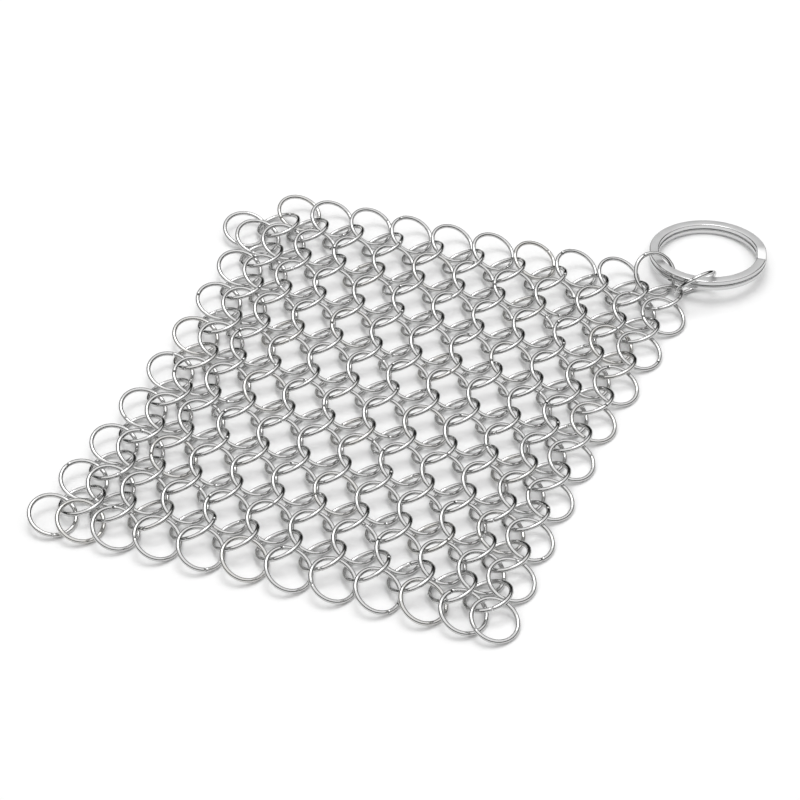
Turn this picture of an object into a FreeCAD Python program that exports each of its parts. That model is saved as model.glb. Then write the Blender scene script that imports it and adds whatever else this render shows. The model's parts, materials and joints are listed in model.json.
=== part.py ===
import FreeCAD, Part
import math
import os

doc = FreeCAD.newDocument("pot_scrubber")
sheet = doc.addObject("Spreadsheet::Sheet", "Sizes")

# Driving dimensions in millimetres, then shares of them, angles in degrees and counts.
driving = [
    ("ring_diameter", 10.0),
    ("wire_diameter", 0.9),
    ("seam_width", 0.12),
    ("split_diameter", 25.0),
    ("split_width", 2.0),
    ("split_thickness", 1.0),
    ("split_space", 0.25),
]
shares = [
    ("column_pitch_share", 1.857),
    ("flare_share", 0.00615),
    ("row_pitch_share", 2.615),
    ("row_tighten_share", 0.0066),
    ("row_shear_share", 0.242),
    ("waist_share", 0.578),
    ("even_row_share", 0.522),
    ("left_bunch_share", 0.55),
    ("right_bunch_share", 0.44),
    ("left_flatten_share", 0.3),
    ("right_flatten_share", 0.25),
    ("pull_left_share", 0.0123),
    ("pull_back_share", 0.5165),
    ("holder_left_share", 0.154),
    ("holder_back_share", 0.161),
    ("link_right_share", 0.4426),
    ("link_front_share", 0.2932),
    ("corner_left_share", 0.739),
    ("corner_front_share", 1.818),
    ("thread_share", 0.5438),
    ("edge_round_share", 0.2),
]
angles = [
    ("lean_front", 6.5),
    ("lean_side", 25.0),
    ("corner_lean", 15.7),
    ("corner_bearing", -29.5),
    ("holder_lean", 42.9),
    ("holder_bearing", -40.7),
    ("link_lean", 59.6),
    ("link_bearing", 138.8),
    ("thread_bearing", 49.75),
    ("split_lean", 7.6),
    ("split_bearing", 109.0),
    ("ramp_angle", 24.0),
    ("cut_angle", 1.0),
]
counts = [
    ("columns", 12),
    ("rows", 10),
    ("left_bunched", 2.6),
    ("right_bunched", 2.1),
    ("pulled_columns", 1.5),
    ("pulled_rows", 1.6),
]
line = 0
for alias, value in driving + shares + angles + counts:
    line = line + 1
    sheet.set("A%d" % line, alias)
    sheet.set("B%d" % line, str(value))
    sheet.setAlias("B%d" % line, alias)
derived = [
    ("ring_radius", "=(ring_diameter - wire_diameter) / 2"),
    ("wire_radius", "=wire_diameter / 2"),
    ("ring_turn", "=360 - seam_width / ring_radius * 180 / pi"),
]
for alias, formula in derived:
    line = line + 1
    sheet.set("A%d" % line, alias)
    sheet.set("B%d" % line, formula)
    sheet.setAlias("B%d" % line, alias)
doc.recompute()


def size(alias):
    return float(sheet.get(alias))


ring_radius = size("ring_radius")
wire_radius = size("wire_radius")
columns = int(size("columns"))
rows = int(size("rows"))
up = FreeCAD.Vector(0, 0, 1)

# The sheet of rings is widest at the back and front edges and narrowest at its waist. Its rows
# close up towards both edges, and its side columns are bunched.
last_column = columns - 1
last_row = rows - 1
middle_column = last_column / 2
middle_row = last_row / 2
waist_row = last_row * size("waist_share")
even_row = last_row * size("even_row_share")
left_bunched = size("left_bunched")
right_bunched = size("right_bunched")


def heading(bearing):
    angle = math.radians(bearing)
    return FreeCAD.Vector(math.cos(angle), math.sin(angle), 0)


def leaning(lean, bearing):
    angle = math.radians(lean)
    return heading(bearing) * math.sin(angle) + up * math.cos(angle)


def column_pitch(row):
    flare = size("flare_share") * (row - waist_row) ** 2
    return ring_radius * (size("column_pitch_share") + flare)


def row_place(row):
    step = row - even_row
    return -ring_radius * (size("row_pitch_share") * step - size("row_tighten_share") * step**3)


def bunching(column):
    left = max(0, left_bunched - column) / left_bunched
    right = max(0, column - last_column + right_bunched) / right_bunched
    return left, right


def column_place(column):
    left, right = bunching(column)
    bunch = size("left_bunch_share") * left**2 - size("right_bunch_share") * right**2
    return column - middle_column + bunch


def row_shift(row):
    return -ring_radius * size("row_shear_share") * (row - middle_row)


# Rings of the two families lean opposite ways, and lie flatter in the bunched side columns.
def lean_normal(column, sign):
    left, right = bunching(column)
    share = 1 - size("left_flatten_share") * left - size("right_flatten_share") * right
    front = math.radians(sign * size("lean_front"))
    side = math.radians(sign * size("lean_side") * share)
    return FreeCAD.Vector(
        math.sin(side) * math.cos(front),
        -math.sin(front),
        math.cos(side) * math.cos(front),
    )


def resting_height(normal):
    return ring_radius * math.sqrt(1 - normal.z**2) + wire_radius


# The split ring draws the back-right corner of the sheet out towards itself.
def pull(column, row):
    side = (last_column - column) / size("pulled_columns")
    fade = math.exp(-(side**2) - (row / size("pulled_rows")) ** 2)
    way = FreeCAD.Vector(-size("pull_left_share"), size("pull_back_share"), 0)
    return way * (ring_radius * fade)


def front_ring(column, row):
    normal = lean_normal(column, 1)
    across = column_place(column) * column_pitch(row) + row_shift(row)
    place = FreeCAD.Vector(across, row_place(row), resting_height(normal))
    return place + pull(column, row), normal


def back_ring(column, row):
    normal = lean_normal(column + 1 / 2, -1)
    place = (column_place(column) + column_place(column + 1)) / 2
    pitch = (column_pitch(row) + column_pitch(row + 1)) / 2
    across = place * pitch + row_shift(row + 1 / 2)
    along = (row_place(row) + row_place(row + 1)) / 2
    middle = FreeCAD.Vector(across, along, resting_height(normal))
    return middle + pull(column + 1 / 2, row + 1 / 2), normal


# Each closing seam points its own way, spread by the golden angle.
golden_turn = 180 * (3 - math.sqrt(5))


def add_ring(name, centre, normal, number):
    ring = doc.addObject("Part::Torus", name)
    ring.setExpression("Radius1", "Sizes.ring_radius")
    ring.setExpression("Radius2", "Sizes.wire_radius")
    ring.setExpression("Angle3", "Sizes.ring_turn")
    spin = FreeCAD.Rotation(up, golden_turn * number)
    ring.Placement = FreeCAD.Placement(centre, FreeCAD.Rotation(up, normal).multiply(spin))
    return ring


def add_group(label, rings):
    group = doc.addObject("Part::Compound", label)
    group.Links = rings
    group.Label = label
    return group


parts = []
number = 0
link_spot = (last_column, 0)
holder_spot = (last_column - 1, 0)
corner_spot = (0, 0)
for column in range(columns):
    front_rings = []
    for row in range(rows):
        number = number + 1
        if (column, row) in (link_spot, holder_spot, corner_spot):
            continue
        centre, normal = front_ring(column, row)
        front_rings.append(add_ring("front_%02d_%02d" % (column, row), centre, normal, number))
    parts.append(add_group("ring_column_%02d" % (2 * column + 1), front_rings))
    if column == last_column:
        continue
    back_rings = []
    for row in range(last_row):
        number = number + 1
        centre, normal = back_ring(column, row)
        back_rings.append(add_ring("back_%02d_%02d" % (column, row), centre, normal, number))
    parts.append(add_group("ring_column_%02d" % (2 * column + 2), back_rings))

# The loose corner ring lies nearly flat beside the back-left corner.
corner_normal = leaning(size("corner_lean"), size("corner_bearing"))
corner_centre = front_ring(*corner_spot)[0]
corner_centre.x = corner_centre.x - ring_radius * size("corner_left_share")
corner_centre.y = corner_centre.y - ring_radius * size("corner_front_share")
corner_centre.z = resting_height(corner_normal)
corner = add_ring("corner_ring", corner_centre, corner_normal, number + 1)
corner.Label = "corner_ring"
parts.append(corner)

# The holder ring leans at the back-right corner, round the wire of the split ring.
holder_normal = leaning(size("holder_lean"), size("holder_bearing"))
holder_centre = front_ring(*holder_spot)[0]
holder_centre.x = holder_centre.x - ring_radius * size("holder_left_share")
holder_centre.y = holder_centre.y + ring_radius * size("holder_back_share")
holder_centre.z = resting_height(holder_normal)
holder = add_ring("holder_ring", holder_centre, holder_normal, number + 2)
holder.Label = "holder_ring"
parts.append(holder)

# The link ring stands on edge beside the holder ring and goes round the split ring too.
link_normal = leaning(size("link_lean"), size("link_bearing"))
link_centre = front_ring(*link_spot)[0]
link_centre.x = link_centre.x + ring_radius * size("link_right_share")
link_centre.y = link_centre.y - ring_radius * size("link_front_share")
link_centre.z = resting_height(link_normal)
link = add_ring("link_ring", link_centre, link_normal, number + 3)
link.Label = "link_ring"
parts.append(link)

# The split ring is two turns of flat wire with one cranked step between them. It lies nearly flat,
# threaded through the holder ring and the link ring.
split_width = size("split_width")
split_thickness = size("split_thickness")
split_rise = split_thickness + size("split_space")
outer_radius = size("split_diameter") / 2
middle_radius = outer_radius - split_width / 2
round_radius = split_thickness * size("edge_round_share")
half_height = (split_rise + split_thickness) / 2
ramp = math.radians(size("ramp_angle"))
cut = math.radians(size("cut_angle"))
full_turn = 2 * math.pi


def wire_height(travel):
    lower_end = full_turn - ramp
    share = min(1, max(0, (travel - lower_end) / ramp))
    return split_rise * ((1 - math.cos(math.pi * share)) / 2 - 1 / 2)


def wire_point(travel, outward, upward):
    turn = cut + ramp + travel
    reach = middle_radius + outward
    return FreeCAD.Vector(
        reach * math.cos(turn),
        reach * math.sin(turn),
        wire_height(travel) + upward,
    )


# The wire's section is a rectangle with rounded corners.
def wire_section(travel):
    flat_out = split_width / 2 - round_radius
    flat_up = split_thickness / 2 - round_radius
    edges = []
    corners = [(1, 1), (-1, 1), (-1, -1), (1, -1)]
    for step, (out_sign, up_sign) in enumerate(corners):
        first = math.pi / 2 * step
        bend = []
        for share in (0, 1 / 2, 1):
            angle = first + math.pi / 2 * share
            outward = out_sign * flat_out + round_radius * math.cos(angle)
            upward = up_sign * flat_up + round_radius * math.sin(angle)
            bend.append(wire_point(travel, outward, upward))
        edges.append(Part.Arc(*bend).toShape())
        next_out, next_up = corners[(step + 1) % 4]
        angle = first + math.pi / 2
        outward = next_out * flat_out + round_radius * math.cos(angle)
        upward = next_up * flat_up + round_radius * math.sin(angle)
        edges.append(Part.makeLine(bend[-1], wire_point(travel, outward, upward)))
    return Part.Wire(Part.__sortEdges__(edges))


lower_turn = full_turn - ramp
axis_foot = FreeCAD.Vector(0, 0, 0)
lower = Part.Face(wire_section(0)).revolve(axis_foot, up, math.degrees(lower_turn))
upper = Part.Face(wire_section(full_turn)).revolve(axis_foot, up, math.degrees(lower_turn))
ramp_steps = 12
ramp_sections = []
for step in range(ramp_steps + 1):
    ramp_sections.append(wire_section(lower_turn + ramp * step / ramp_steps))
crank = Part.makeLoft(ramp_sections, True, False)
split_shape = lower.fuse([crank, upper]).removeSplitter()
if split_shape.ShapeType != "Solid":
    split_shape = split_shape.Solids[0]

thread_way = heading(size("thread_bearing"))
split_normal = leaning(size("split_lean"), size("split_bearing"))
split_slope = math.radians(size("split_lean"))
split_centre = holder_centre + thread_way * (middle_radius + ring_radius * size("thread_share"))
split_centre.z = outer_radius * math.sin(split_slope) + half_height * math.cos(split_slope)
split_turn = FreeCAD.Rotation(up, split_normal)
split = doc.addObject("Part::Feature", "split_ring")
split.Shape = split_shape
split.Placement = FreeCAD.Placement(split_centre, split_turn)
split.Label = "split_ring"
parts.append(split)
doc.recompute()

# The origin is on the table under the middle of the whole object.
box = FreeCAD.BoundBox()
for item in parts:
    box.add(item.Shape.optimalBoundingBox(False))
shift = FreeCAD.Vector(-box.Center.x, -box.Center.y, -box.ZMin)
for item in parts:
    item.Placement = FreeCAD.Placement(shift, FreeCAD.Rotation()).multiply(item.Placement)
doc.recompute()
print("overall size: %.2f x %.2f x %.2f mm" % (box.XLength, box.YLength, box.ZLength))
print("origin moved by: %.3f, %.3f, %.3f mm" % (shift.x, shift.y, shift.z))

# The least gap between the two turns of the split ring, measured on points of the wire.
least = None
samples = 720
for step in range(samples):
    travel = lower_turn * step / samples
    below = wire_point(travel, 0, split_thickness / 2)
    above = wire_point(travel + full_turn, 0, -split_thickness / 2)
    if travel + full_turn <= 2 * full_turn - ramp:
        gap = (above - below).Length
        least = gap if least is None else min(least, gap)
print("least gap between the turns of the split ring: %.3f mm" % least)

for item in doc.Objects:
    state = list(item.State)
    if "Invalid" in state or "Error" in state:
        raise RuntimeError("%s failed" % item.Name)
for item in parts:
    if item.Shape.isNull() or not item.Shape.isValid():
        raise RuntimeError("%s has no valid shape" % item.Label)

os.makedirs("parts", exist_ok=True)
for item in parts:
    item.Shape.exportStep("parts/%s.step" % item.Label)
    print("%s: %d solids, %.2f mm3" % (item.Label, len(item.Shape.Solids), item.Shape.Volume))
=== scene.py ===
import json
import math
import bpy
import numpy as np
from mathutils import Matrix


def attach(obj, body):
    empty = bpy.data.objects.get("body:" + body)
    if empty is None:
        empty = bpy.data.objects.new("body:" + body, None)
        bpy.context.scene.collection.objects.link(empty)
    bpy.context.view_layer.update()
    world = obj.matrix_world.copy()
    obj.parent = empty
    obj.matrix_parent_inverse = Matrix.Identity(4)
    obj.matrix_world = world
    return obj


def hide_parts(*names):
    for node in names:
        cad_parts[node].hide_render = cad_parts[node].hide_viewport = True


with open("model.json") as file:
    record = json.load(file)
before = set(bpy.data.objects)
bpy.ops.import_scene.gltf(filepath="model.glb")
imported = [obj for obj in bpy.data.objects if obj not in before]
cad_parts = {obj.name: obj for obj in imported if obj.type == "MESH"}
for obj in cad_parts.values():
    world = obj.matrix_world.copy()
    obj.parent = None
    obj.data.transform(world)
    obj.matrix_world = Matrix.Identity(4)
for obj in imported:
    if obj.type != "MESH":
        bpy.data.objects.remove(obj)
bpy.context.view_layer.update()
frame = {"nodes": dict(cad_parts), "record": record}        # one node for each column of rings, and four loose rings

scene = bpy.context.scene
millimetre = 0.001
goldenShare = (math.sqrt(5) - 1) / 2
bodyNodes = frame["record"]["behaviour"]["bodies"]
bodyOf = {node: body for body, nodes in bodyNodes.items() for node in nodes}
print("frame loaded:", len(frame["nodes"]), "nodes")


# Helpers for vectors and meshes

def unitOf(vectors):
    return vectors / np.linalg.norm(vectors, axis=-1, keepdims=True)


# Grid of rows by sides that closes round its sides: four corners for each quad.
def tubeQuads(rowCount, sideCount):
    row, side = np.meshgrid(np.arange(rowCount - 1), np.arange(sideCount), indexing="ij")
    nextSide = (side + 1) % sideCount
    corners = [row * sideCount + side, row * sideCount + nextSide]
    corners += [(row + 1) * sideCount + nextSide, (row + 1) * sideCount + side]
    return np.stack(corners, axis=-1).reshape(-1, 4)


# Tubes as (tube, row, side, xyz) become one mesh, and each tube end is closed by one flat face.
def tubesToPiece(name, tubes, attributes, material):
    tubeCount, rowCount, sideCount = tubes.shape[:3]
    firsts = np.arange(tubeCount) * rowCount * sideCount
    quads = (firsts[:, None, None] + tubeQuads(rowCount, sideCount)).reshape(-1, 4)
    startCaps = firsts[:, None] + np.arange(sideCount)[::-1]
    endCaps = firsts[:, None] + (rowCount - 1) * sideCount + np.arange(sideCount)
    mesh = bpy.data.meshes.new(name)
    faces = quads.tolist() + startCaps.tolist() + endCaps.tolist()
    mesh.from_pydata(tubes.reshape(-1, 3).tolist(), [], faces)
    smooth = np.arange(len(faces)) < len(quads)
    mesh.polygons.foreach_set("use_smooth", smooth)
    for label, values in attributes.items():
        kind = "FLOAT_VECTOR" if values.shape[-1] == 3 else "FLOAT"
        layer = mesh.attributes.new(label, kind, "POINT")
        layer.data.foreach_set("vector" if kind == "FLOAT_VECTOR" else "value", values.ravel())
    mesh.materials.append(material)
    mesh.update()
    piece = bpy.data.objects.new(name, mesh)
    scene.collection.objects.link(piece)
    return piece


# Helpers for shader nodes

def addNode(tree, kind, inputs=None, **settings):
    node = tree.nodes.new(kind)
    for key, value in settings.items():
        setattr(node, key, value)
    for key, value in (inputs or {}).items():
        if isinstance(value, bpy.types.NodeSocket):
            tree.links.new(value, node.inputs[key])
        else:
            node.inputs[key].default_value = value
    return node


def newMaterial(name):
    material = bpy.data.materials.new(name)
    material.use_nodes = True
    material.node_tree.nodes.clear()
    output = material.node_tree.nodes.new("ShaderNodeOutputMaterial")
    return material, material.node_tree, output


# Fine lines drawn along the wire, and larger clouds of wear. Both come out from 0 to 1.
def makeDrawnLinesGroup():
    group = bpy.data.node_groups.new("drawnLines", "ShaderNodeTree")
    group.interface.new_socket("Place", in_out="INPUT", socket_type="NodeSocketVector")
    for label in ("Line Width", "Line Length", "Cloud Size"):
        group.interface.new_socket(label, in_out="INPUT", socket_type="NodeSocketFloat")
    for label in ("Lines", "Clouds"):
        group.interface.new_socket(label, in_out="OUTPUT", socket_type="NodeSocketFloat")
    source = group.nodes.new("NodeGroupInput")
    target = group.nodes.new("NodeGroupOutput")
    place, width, length, cloud = [source.outputs[index] for index in range(4)]
    stretch = addNode(group, "ShaderNodeCombineXYZ", {"X": width, "Y": width, "Z": length})
    lineSpace = addNode(group, "ShaderNodeVectorMath", {0: place, 1: stretch.outputs[0]},
                        operation="DIVIDE")
    cloudSpace = addNode(group, "ShaderNodeVectorMath", {0: place, 1: cloud}, operation="DIVIDE")
    for label, space, detail in (("Lines", lineSpace, 3.0), ("Clouds", cloudSpace, 2.0)):
        inputs = {"Vector": space.outputs[0], "Scale": 1.0, "Detail": detail}
        noise = addNode(group, "ShaderNodeTexNoise", inputs)
        group.links.new(noise.outputs["Fac"], target.inputs[label])
    return group


drawnLines = makeDrawnLinesGroup()


# The drawn lines and clouds in the sizes of one finish, on the wire as if it were straight.
def addDrawnLines(tree, finish):
    place = addNode(tree, "ShaderNodeAttribute", attribute_name="straightWire")
    effect = addNode(tree, "ShaderNodeGroup", node_tree=drawnLines)
    tree.links.new(place.outputs["Vector"], effect.inputs["Place"])
    effect.inputs["Line Width"].default_value = finish["lineWidth"]
    effect.inputs["Line Length"].default_value = finish["lineLength"]
    effect.inputs["Cloud Size"].default_value = finish["cloudSize"]
    return effect.outputs["Lines"], effect.outputs["Clouds"]


def blendColours(tree, factor, first, second):
    blend = addNode(tree, "ShaderNodeMix", data_type="RGBA")
    tree.links.new(factor, blend.inputs["Factor"])
    blend.inputs[6].default_value = first
    blend.inputs[7].default_value = second
    return blend.outputs[2]


# Bare metal, with the drawn lines as a fine relief.
def addSteel(tree, output, finish, colour, roughness, lines):
    depth = finish["lineDepth"] * millimetre
    relief = {"Height": lines, "Strength": finish["lineStrength"], "Distance": depth}
    bump = addNode(tree, "ShaderNodeBump", relief)
    look = {"Base Color": colour, "Metallic": 1.0, "Roughness": roughness, "Normal": bump.outputs[0]}
    steel = addNode(tree, "ShaderNodeBsdfPrincipled", look)
    tree.links.new(steel.outputs[0], output.inputs["Surface"])


ringFinish = {
    "bright": (0.60, 0.60, 0.597, 1),
    "warm": (0.585, 0.57, 0.535, 1),
    "warmFrom": 0.80,           # share of the rings that stay neutral
    "wearFrom": 0.10,           # lines times clouds, where the steel is smoothest
    "wearTo": 0.45,             # and where it is roughest
    "smoothest": 0.05,
    "roughest": 0.17,
    "lineWidth": 0.09,          # mm
    "lineLength": 3.0,          # mm
    "cloudSize": 2.2,           # mm
    "lineDepth": 0.004,         # mm
    "lineStrength": 0.35,
}


def makeRingSteel(finish):
    material, tree, output = newMaterial("ringSteel")
    lines, clouds = addDrawnLines(tree, finish)
    tone = addNode(tree, "ShaderNodeAttribute", attribute_name="ringTone")
    warmSpan = {"Value": tone.outputs["Fac"], "From Min": finish["warmFrom"], "From Max": 1.0}
    warmRing = addNode(tree, "ShaderNodeMapRange", warmSpan)
    warmth = addNode(tree, "ShaderNodeMath", {0: warmRing.outputs[0], 1: clouds}, operation="MULTIPLY")
    colour = blendColours(tree, warmth.outputs[0], finish["bright"], finish["warm"])
    wear = addNode(tree, "ShaderNodeMath", {0: lines, 1: clouds}, operation="MULTIPLY")
    wearSpan = {"Value": wear.outputs[0], "From Min": finish["wearFrom"], "From Max": finish["wearTo"],
                "To Min": finish["smoothest"], "To Max": finish["roughest"]}
    rough = addNode(tree, "ShaderNodeMapRange", wearSpan)
    addSteel(tree, output, finish, colour, rough.outputs[0], lines)
    return material


splitFinish = {
    "bright": (0.60, 0.60, 0.60, 1),
    # painted sheen: the flat faces are the same steel as the walls, painted lighter to stand in for the overhead
    # light they catch
    "faceWithPaintedSheen": (0.74, 0.74, 0.74, 1),
    "wallRoughness": 0.08,
    "faceRoughness": 0.58,
    "wearFrom": 0.3,            # clouds, where the steel is smoothest
    "wearTo": 0.7,              # and where it is roughest
    "smoother": -0.03,          # change of the roughness there
    "rougher": 0.05,
    "lineWidth": 0.12,          # mm
    "lineLength": 4.0,          # mm
    "cloudSize": 3.0,           # mm
    "lineDepth": 0.006,         # mm
    "lineStrength": 0.25,
}


def makeSplitSteel(finish):
    material, tree, output = newMaterial("splitSteel")
    lines, clouds = addDrawnLines(tree, finish)
    flat = addNode(tree, "ShaderNodeAttribute", attribute_name="flatFace")
    # Painted sheen: the flat faces take the lighter colour, standing in for the light on them; only their roughness
    # is a real finish
    colour = blendColours(tree, flat.outputs["Fac"], finish["bright"], finish["faceWithPaintedSheen"])
    wearSpan = {"Value": clouds, "From Min": finish["wearFrom"], "From Max": finish["wearTo"],
                "To Min": finish["smoother"], "To Max": finish["rougher"]}
    wear = addNode(tree, "ShaderNodeMapRange", wearSpan)
    faceSpan = {"Value": flat.outputs["Fac"], "To Min": finish["wallRoughness"],
                "To Max": finish["faceRoughness"]}
    base = addNode(tree, "ShaderNodeMapRange", faceSpan)
    rough = addNode(tree, "ShaderNodeMath", {0: base.outputs[0], 1: wear.outputs[0]}, operation="ADD")
    addSteel(tree, output, finish, colour, rough.outputs[0], lines)
    return material


ringSteel = makeRingSteel(ringFinish)
splitSteel = makeSplitSteel(splitFinish)
print("materials made")


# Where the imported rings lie

weldLength = millimetre / 1000  # corners nearer than this are one
seamFacing = 0.9                # how squarely a triangle of a wire's end faces along the wire


# Triangles of a node as (triangle, corner, xyz), and the number of the solid that each belongs to.
def solidsOf(nodeName):
    mesh = frame["nodes"][nodeName].data
    points = np.empty(len(mesh.vertices) * 3)
    mesh.vertices.foreach_get("co", points)
    points = points.reshape(-1, 3)
    mesh.calc_loop_triangles()
    corners = np.empty(len(mesh.loop_triangles) * 3, dtype=np.int32)
    mesh.loop_triangles.foreach_get("vertices", corners)
    spot = np.unique(np.round(points / weldLength), axis=0, return_inverse=True)[1].ravel()
    corners = spot[corners].reshape(-1, 3)
    label = np.arange(spot.max() + 1)
    settled = False
    while not settled:          # touching triangles come to share the least number among them
        fresh = label.copy()
        np.minimum.at(fresh, corners.ravel(), np.repeat(label[corners].min(axis=1), 3))
        settled = np.array_equal(fresh, label)
        label = fresh
    places = np.zeros((len(label), 3))
    places[spot] = points
    return places[corners], label[corners[:, 0]]


# A ring's centre is that of the circle that fits its corners best, its normal is the direction in
# which they spread least, and its seam is where triangles face along the wire.
def fitRing(triangles):
    corners = triangles.reshape(-1, 3)
    middle = corners.mean(axis=0)
    across, ahead, normal = np.linalg.svd(corners - middle, full_matrices=False)[2]
    normal = normal * np.sign(normal[2])
    flat = (corners - middle) @ np.stack([across, ahead], axis=1)
    equations = np.column_stack([2 * flat, np.ones(len(flat))])
    shift = np.linalg.lstsq(equations, (flat**2).sum(axis=1), rcond=None)[0]
    centre = middle + shift[0] * across + shift[1] * ahead
    facing = unitOf(np.cross(triangles[:, 1] - triangles[:, 0], triangles[:, 2] - triangles[:, 0]))
    outward = triangles.mean(axis=1) - centre
    outward = unitOf(outward - (outward @ normal)[:, None] * normal)
    along = np.abs((facing * np.cross(normal, outward)).sum(axis=1))
    seam = unitOf(outward[along > seamFacing].sum(axis=0))
    return centre, normal, seam


def ringPlaces(nodeName):
    triangles, solid = solidsOf(nodeName)
    rings = [fitRing(triangles[solid == number]) for number in np.unique(solid)]
    return [np.array(column) for column in zip(*rings)]


wireRing = {
    "ringRadius": 4.55,         # mm, to the middle of the wire
    "wireRadius": 0.45,         # mm
    "seamWidth": 0.12,          # mm
    "endBevel": 0.07,           # mm, rounding of each cut end
    "seamStep": 0.09,           # mm, the most that one cut end stands above the other
    "patternShift": 100,        # mm along the wire, so that no two rings show the same lines
    "turnSteps": 76,
    "wireSides": 14,
}


# Each ring is the wire's round profile carried round a circle, from one cut end to the other:
# centre + (ringRadius + wire cos v)(cos u seam + sin u ahead) + (wire sin v + lift) normal.
# The wire narrows by the bevel at both ends. Past half a turn it lifts with the cube of the way gone.
def ringTubes(centres, normals, seams, tones, ring):
    radius, wire = ring["ringRadius"] * millimetre, ring["wireRadius"] * millimetre
    bevel = ring["endBevel"] * millimetre
    halfGap = ring["seamWidth"] * millimetre / 2 / radius
    start, turn = halfGap + bevel / radius, 2 * math.pi
    steps = np.linspace(start, turn - start, ring["turnSteps"])
    u = np.concatenate([[halfGap], steps, [turn - halfGap]])
    narrow = np.ones(len(u))
    narrow[[0, -1]] = 1 - bevel / wire
    v = np.arange(ring["wireSides"]) * 2 * math.pi / ring["wireSides"]
    ahead = np.cross(normals, seams)
    outward = np.cos(u)[:, None] * seams[:, None] + np.sin(u)[:, None] * ahead[:, None]
    lift = tones[:, None] * ring["seamStep"] * millimetre * np.maximum(u / math.pi - 1, 0) ** 3
    reach = radius + wire * narrow[:, None] * np.cos(v)
    height = wire * narrow[:, None] * np.sin(v) + lift[:, :, None]
    tubes = centres[:, None, None] + reach[None, :, :, None] * outward[:, :, None]
    tubes = tubes + height[..., None] * normals[:, None, None]
    straight = np.empty(tubes.shape)
    straight[..., 0] = ring["wireRadius"] * np.cos(v)
    straight[..., 1] = ring["wireRadius"] * np.sin(v)
    straight[..., 2] = ring["ringRadius"] * u[:, None] + ring["patternShift"] * tones[:, None, None]
    tone = np.broadcast_to(tones[:, None, None, None], tubes.shape[:3] + (1,))
    return tubes, {"straightWire": straight, "ringTone": np.ascontiguousarray(tone)}


def makeRings(nodeName, firstNumber, ring):
    centres, normals, seams = ringPlaces(nodeName)
    tones = (goldenShare * (firstNumber + np.arange(len(centres)))) % 1
    tubes, attributes = ringTubes(centres, normals, seams, tones, ring)
    piece = tubesToPiece(nodeName + "_wire", tubes, attributes, ringSteel)
    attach(piece, bodyOf[nodeName])
    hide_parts(nodeName)
    return len(centres)


ringCount = 0
for nodeName in sorted(frame["nodes"]):
    if nodeName != "split_ring":
        ringCount += makeRings(nodeName, ringCount, wireRing)
print("wire rings made:", ringCount)

splitRing = {
    "outerDiameter": 25.0,      # mm
    "width": 2.0,               # mm, across the flat face
    "thickness": 1.0,           # mm
    "space": 0.25,              # mm, between the two turns
    "edgeRound": 0.2,           # mm
    "faceShare": 0.05,          # share of the rounding that still counts as flat face
    "rampAngle": 24.0,          # degrees, length of the cranked step
    "cutBearing": 1.0,          # degrees, where the upper turn ends, seen from above
    "stepsPerTurn": 160,
    "cornerSteps": 5,
}


# Profile of the flat wire, a rectangle with rounded corners, as offsets outward and upward.
def flatWireProfile(split):
    corner = split["edgeRound"]
    angle = np.linspace(0, math.pi / 2, split["cornerSteps"])
    quarter = np.arange(4)[:, None] * math.pi / 2 + angle
    signs = np.array([[1, 1], [-1, 1], [-1, -1], [1, -1]])
    half = np.array([split["width"] / 2 - corner, split["thickness"] / 2 - corner])
    bends = np.stack([np.cos(quarter), np.sin(quarter)], axis=-1)
    return ((signs * half)[:, None] + corner * bends).reshape(-1, 2)


# The split ring is that profile carried through two turns. The wire stays low for one turn less the
# crank, rises along half a cosine wave through the crank, and stays high to its other end.
def makeSplitRing(split):
    eye = next(mount for mount in frame["record"]["mounts"] if mount["name"] == "hang_eye")
    normal = unitOf(np.array(eye["axis"]))
    side = unitOf(np.cross(np.array([0.0, 1.0, 0.0]), normal))
    ahead = np.cross(normal, side)
    axes = np.stack([side, ahead, normal])
    spread = solidsOf("split_ring")[0].reshape(-1, 3) @ axes.T
    centre = (spread.min(axis=0) + spread.max(axis=0)) / 2 @ axes
    middle = (split["outerDiameter"] - split["width"]) / 2
    ramp, turn = math.radians(split["rampAngle"]), 2 * math.pi
    rise = split["thickness"] + split["space"]
    travel = np.linspace(0, 2 * turn - ramp, 2 * split["stepsPerTurn"])
    share = np.clip((travel - turn + ramp) / ramp, 0, 1)
    height = -rise / 2 * np.cos(math.pi * share)
    bearing = math.radians(split["cutBearing"]) + ramp + travel
    outward = np.cos(bearing)[:, None] * side + np.sin(bearing)[:, None] * ahead
    profile = flatWireProfile(split)
    reach = (middle + profile[:, 0]) * millimetre
    lift = (height[:, None] + profile[:, 1]) * millimetre
    tube = centre + reach[None, :, None] * outward[:, None] + lift[..., None] * normal
    straight = np.empty(tube.shape)
    straight[..., 0] = profile[:, 0]
    straight[..., 1] = profile[:, 1]
    straight[..., 2] = middle * travel[:, None]
    flat = np.abs(profile[:, 1]) > split["thickness"] / 2 - split["faceShare"] * split["edgeRound"]
    flat = np.broadcast_to(flat.astype(float)[None, :, None], tube.shape[:2] + (1,))
    attributes = {"straightWire": straight, "flatFace": np.ascontiguousarray(flat)}
    piece = tubesToPiece("split_ring_wire", tube[None], attributes, splitSteel)
    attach(piece, bodyOf["split_ring"])
    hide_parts("split_ring")


makeSplitRing(splitRing)
print("split ring made")

table = {
    "size": 3.0,                # m
    "white": (1.0, 1.0, 1.0, 1),
}


def makeTable(settings):
    half = settings["size"] / 2
    corners = [(-half, -half, 0), (half, -half, 0), (half, half, 0), (-half, half, 0)]
    mesh = bpy.data.meshes.new("table")
    mesh.from_pydata(corners, [], [(0, 1, 2, 3)])
    material, tree, output = newMaterial("tableWhite")
    paint = addNode(tree, "ShaderNodeBsdfDiffuse", {"Color": settings["white"]})
    tree.links.new(paint.outputs[0], output.inputs["Surface"])
    mesh.materials.append(material)
    top = bpy.data.objects.new("table", mesh)
    scene.collection.objects.link(top)


makeTable(table)

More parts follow.
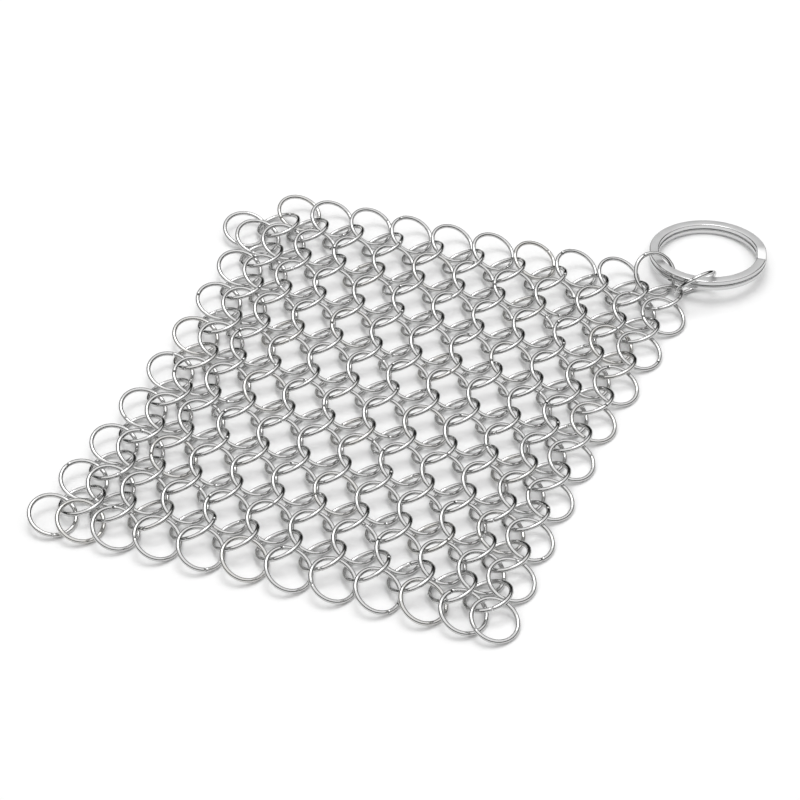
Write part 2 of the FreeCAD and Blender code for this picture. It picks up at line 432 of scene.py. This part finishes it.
studio = {
    "skyHeights": (0.0, 0.35, 0.5, 0.64, 1.0),      # sine of the elevation
    "skyLevels": (0.01, 0.01, 0.12, 1.1, 1.26),     # radiance of the surroundings there
    "keyPlace": (-0.10, 0.22, 0.90),
    "keySize": 0.45,            # m
    "keyPower": 2.1,            # W
}


def aimAt(obj, place, target):
    back = unitOf(np.array(place) - np.array(target))
    right = unitOf(np.cross(np.array([0.0, 0.0, 1.0]), back))
    up = np.cross(back, right)
    matrix = np.eye(4)
    matrix[:3, 0], matrix[:3, 1], matrix[:3, 2], matrix[:3, 3] = right, up, back, place
    obj.matrix_world = Matrix(matrix.tolist())


def makeStudio(settings):
    world = bpy.data.worlds.new("studio")
    world.use_nodes = True
    tree = world.node_tree
    tree.nodes.clear()
    output = tree.nodes.new("ShaderNodeOutputWorld")
    place = tree.nodes.new("ShaderNodeTexCoord")
    parts = addNode(tree, "ShaderNodeSeparateXYZ", {0: place.outputs["Generated"]})
    ramp = addNode(tree, "ShaderNodeValToRGB", {"Fac": parts.outputs["Z"]})
    for index, (spot, level) in enumerate(zip(settings["skyHeights"], settings["skyLevels"])):
        stop = ramp.color_ramp.elements[index] if index < 2 else ramp.color_ramp.elements.new(spot)
        stop.position = spot
        stop.color = (level, level, level, 1)
    sky = addNode(tree, "ShaderNodeBackground", {"Color": ramp.outputs["Color"], "Strength": 1.0})
    tree.links.new(sky.outputs[0], output.inputs["Surface"])
    scene.world = world
    lamp = bpy.data.lights.new("keyLamp", "AREA")
    lamp.shape = "DISK"
    lamp.size = settings["keySize"]
    lamp.energy = settings["keyPower"]
    key = bpy.data.objects.new("keyLamp", lamp)
    scene.collection.objects.link(key)
    aimAt(key, settings["keyPlace"], (0.0, 0.0, 0.0))


makeStudio(studio)

camera = {
    "focalPixels": 2602.0,      # for a frame 800 pixels wide
    "frameWidth": 800,          # pixels
    "sensorWidth": 36.0,        # mm
    "nearest": 0.01,            # m
    "elevation": 42.8,          # degrees
    "azimuth": 17.957,          # degrees
    "distance": 0.5271,         # m
    "target": (-0.002147, -0.007480, 0.0),
}


def makeCamera(settings):
    lens = bpy.data.cameras.new("camera")
    lens.sensor_width = settings["sensorWidth"]
    lens.lens = settings["focalPixels"] * lens.sensor_width / settings["frameWidth"]
    lens.clip_start = settings["nearest"]
    turn, rise = math.radians(settings["azimuth"]), math.radians(settings["elevation"])
    level = math.cos(rise)
    back = np.array([math.sin(turn) * level, -math.cos(turn) * level, math.sin(rise)])
    view = bpy.data.objects.new("camera", lens)
    scene.collection.objects.link(view)
    aimAt(view, np.array(settings["target"]) + back * settings["distance"], settings["target"])
    scene.camera = view


makeCamera(camera)
scene.view_settings.view_transform = "Standard"
print("table, lights and camera placed")
